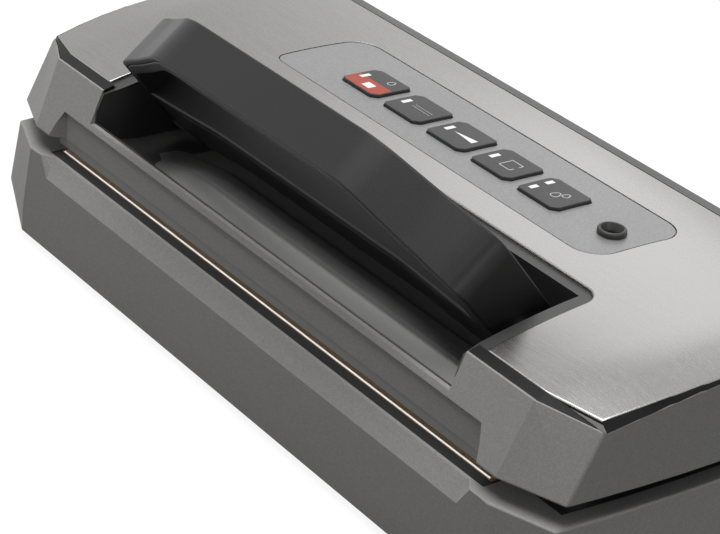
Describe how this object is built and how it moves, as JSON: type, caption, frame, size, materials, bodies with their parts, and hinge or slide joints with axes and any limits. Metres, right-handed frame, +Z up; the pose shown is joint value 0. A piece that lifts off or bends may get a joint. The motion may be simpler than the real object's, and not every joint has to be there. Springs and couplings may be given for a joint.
{
  "type": "vacuum sealer",
  "caption": "Countertop vacuum sealer: angular grey base, hinged lid with brushed steel top, locking bail handle in a front recess, key panel and hose port.",
  "frame": {"origin": "centre of the footprint, on the table plane under the rubber feet", "axes": "+X to the user's right along the width, +Y to the back (hinge side), +Z up"},
  "size_m": [0.416, 0.1984, 0.1552],
  "materials": {
    "grey_housing": "fine satin, warm grey",
    "black_plastic": "fine grained black",
    "black_trim": "satin black",
    "brushed_steel": "brushed from front to back",
    "handle_plastic": "fine grained charcoal",
    "rubber": "matte",
    "hose": "translucent silicone",
    "plain_steel": "zinc plated",
    "heating_wire": "bright",
    "release_tape": "satin brown",
    "panel_film": "silver with a fine sparkle",
    "key_plastic": "fine grained",
    "port": "satin olive grey",
    "inner_plastic": "plain moulded",
    "iron_core": "lacquered laminations",
    "circuit_board": "green lacquer",
    "brass_crank": "turned",
    "red_plastic": "plain moulded"
  },
  "bodies": {
    "base": {"base_shell": "grey_housing", "bottom_cover": "black_plastic", "foot_front_left": "rubber", "foot_front_right": "rubber", "foot_back_left": "rubber", "foot_back_right": "rubber", "bottom_screws": "plain_steel", "chamber_tray": "black_plastic", "lower_gasket": "rubber", "seal_bar": "black_plastic", "heating_wire": "heating_wire", "release_tape": "release_tape", "pump_motor": "plain_steel", "pump_frame": "inner_plastic", "pump_head": "inner_plastic", "vacuum_hose": "hose", "release_valve": "inner_plastic", "pressure_switch": "inner_plastic", "transformer": "iron_core", "power_board": "circuit_board", "lid_switch": "black_plastic", "power_inlet": "black_plastic", "lock_catch_left": "plain_steel", "lock_catch_right": "plain_steel", "hinge_bracket_left": "black_plastic", "hinge_bracket_right": "black_plastic", "hinge_pin_left": "plain_steel", "hinge_pin_right": "plain_steel"},
    "lid": {"lid_frame": "grey_housing", "trim_frame": "black_trim", "cover_plate": "brushed_steel", "recess_tub": "black_plastic", "lid_liner": "black_plastic", "upper_gasket": "rubber", "pressure_strip": "rubber", "control_panel": "panel_film", "key_board": "circuit_board", "port_fitting": "port", "accessory_hose": "hose", "shaft_block_left": "inner_plastic", "shaft_block_right": "inner_plastic", "hinge_arm_left": "black_plastic", "hinge_arm_right": "black_plastic", "liner_screws": "plain_steel"},
    "handle": {"handle_outer_shell": "handle_plastic", "handle_inner_shell": "handle_plastic", "handle_hub": "handle_plastic", "handle_shaft": "plain_steel", "lock_hook_left": "plain_steel", "lock_hook_right": "plain_steel"},
    "pump_crank": {"pump_crank": "brass_crank"},
    "switch_plunger": {"switch_plunger": "red_plastic"},
    "key_1": {"key_1": "key_plastic"},
    "key_2": {"key_2": "key_plastic"},
    "key_3": {"key_3": "key_plastic"},
    "key_4": {"key_4": "key_plastic"},
    "key_5": {"key_5": "key_plastic"}
  },
  "joints": [
    {"name": "lid_hinge", "type": "hinge", "parent": "base", "child": "lid", "pos_m": [0, 0.091, 0.0562], "axis": [-1, 0, 0], "range_deg": [0, 75]},
    {"name": "handle_pivot", "type": "hinge", "parent": "lid", "child": "handle", "pos_m": [0, -0.04, 0.087], "axis": [1, 0, 0], "range_deg": [0, 42]},
    {"name": "pump_crank_spin", "type": "hinge", "parent": "base", "child": "pump_crank", "pos_m": [0.085, 0.052, 0.027], "axis": [1, 0, 0], "continuous": true},
    {"name": "switch_press", "type": "slide", "parent": "base", "child": "switch_plunger", "axis": [0, 0, -1], "range_m": [0, 0.002], "stiffness_N_per_m": 150},
    {"name": "key_1_press", "type": "slide", "parent": "lid", "child": "key_1", "axis": [0, 0, -1], "range_m": [0, 0.0008], "stiffness_N_per_m": 400},
    {"name": "key_2_press", "type": "slide", "parent": "lid", "child": "key_2", "axis": [0, 0, -1], "range_m": [0, 0.0008], "stiffness_N_per_m": 400},
    {"name": "key_3_press", "type": "slide", "parent": "lid", "child": "key_3", "axis": [0, 0, -1], "range_m": [0, 0.0008], "stiffness_N_per_m": 400},
    {"name": "key_4_press", "type": "slide", "parent": "lid", "child": "key_4", "axis": [0, 0, -1], "range_m": [0, 0.0008], "stiffness_N_per_m": 400},
    {"name": "key_5_press", "type": "slide", "parent": "lid", "child": "key_5", "axis": [0, 0, -1], "range_m": [0, 0.0008], "stiffness_N_per_m": 400}
  ]
}
